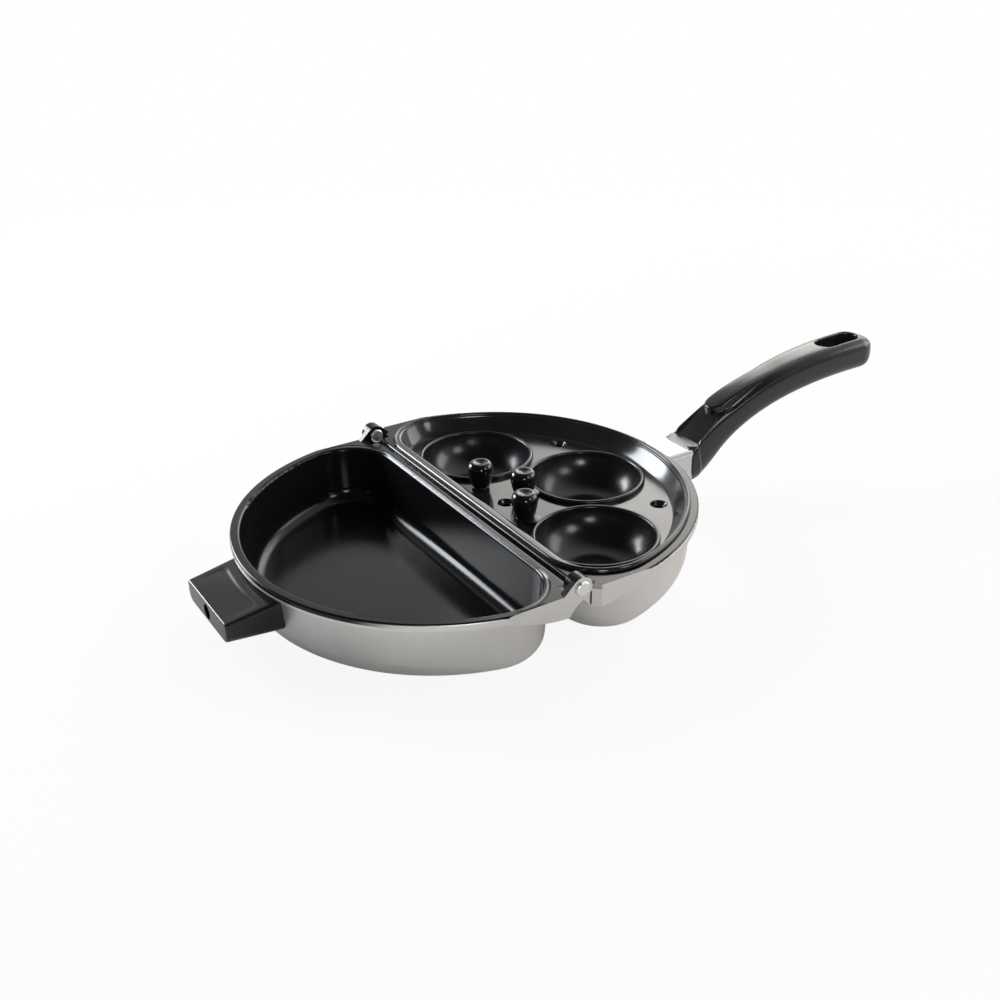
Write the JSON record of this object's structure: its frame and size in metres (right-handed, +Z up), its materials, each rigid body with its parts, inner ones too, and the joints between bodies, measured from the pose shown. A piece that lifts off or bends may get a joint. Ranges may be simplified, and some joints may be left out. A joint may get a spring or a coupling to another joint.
{
  "type": "egg poacher pan",
  "caption": "Folding stovetop pan of two hinged half-round wells, one plain for omelettes and one with a lift-out tray of egg cups, with a long curved handle and a short side grip.",
  "frame": {"origin": "on the table plane at the middle of the poacher half's flat base", "axes": "+Z up, +X along the long handle away from the hinge, +Y along the hinge pins towards the back of the picture"},
  "size_m": [0.4168, 0.2108, 0.0681],
  "materials": {
    "cast_aluminium": "satin outside, dark grey nonstick coat on the rim and inside",
    "rivet_aluminium": "satin",
    "polished_steel": "mirror polished",
    "handle_plastic": "moulded, half gloss",
    "screw_steel": "zinc plated",
    "tray_enamel": "glossy black enamel",
    "cup_coating": "half gloss nonstick",
    "knob_plastic": "glossy"
  },
  "bodies": {
    "poacher_half": {"poacher_pan": "cast_aluminium", "front_hinge_rivet": "rivet_aluminium", "back_hinge_rivet": "rivet_aluminium", "front_hinge_washer": "rivet_aluminium", "back_hinge_washer": "rivet_aluminium", "handle_ferrule": "polished_steel", "long_handle": "handle_plastic", "long_handle_screw": "screw_steel"},
    "omelette_half": {"omelette_pan": "cast_aluminium", "side_handle": "handle_plastic", "side_handle_screw": "screw_steel"},
    "tray": {"poacher_tray": "tray_enamel"},
    "cup_front": {"egg_cup_front": "cup_coating", "cup_knob_front": "knob_plastic", "cup_knob_screw_front": "screw_steel"},
    "cup_middle": {"egg_cup_middle": "cup_coating", "cup_knob_middle": "knob_plastic", "cup_knob_screw_middle": "screw_steel"},
    "cup_back": {"egg_cup_back": "cup_coating", "cup_knob_back": "knob_plastic", "cup_knob_screw_back": "screw_steel"}
  },
  "joints": [
    {"name": "pan_fold", "type": "hinge", "parent": "poacher_half", "child": "omelette_half", "pos_m": [-0.06, 0, 0.0355], "axis": [0, 1, 0], "range_deg": [0, 180]},
    {"name": "tray_lift", "type": "slide", "parent": "poacher_half", "child": "tray", "axis": [0, 0, 1], "range_m": [0, 0.11]},
    {"name": "cup_front_lift", "type": "slide", "parent": "tray", "child": "cup_front", "axis": [0, 0, 1], "range_m": [0, 0.11]},
    {"name": "cup_middle_lift", "type": "slide", "parent": "tray", "child": "cup_middle", "axis": [0, 0, 1], "range_m": [0, 0.11]},
    {"name": "cup_back_lift", "type": "slide", "parent": "tray", "child": "cup_back", "axis": [0, 0, 1], "range_m": [0, 0.11]}
  ]
}
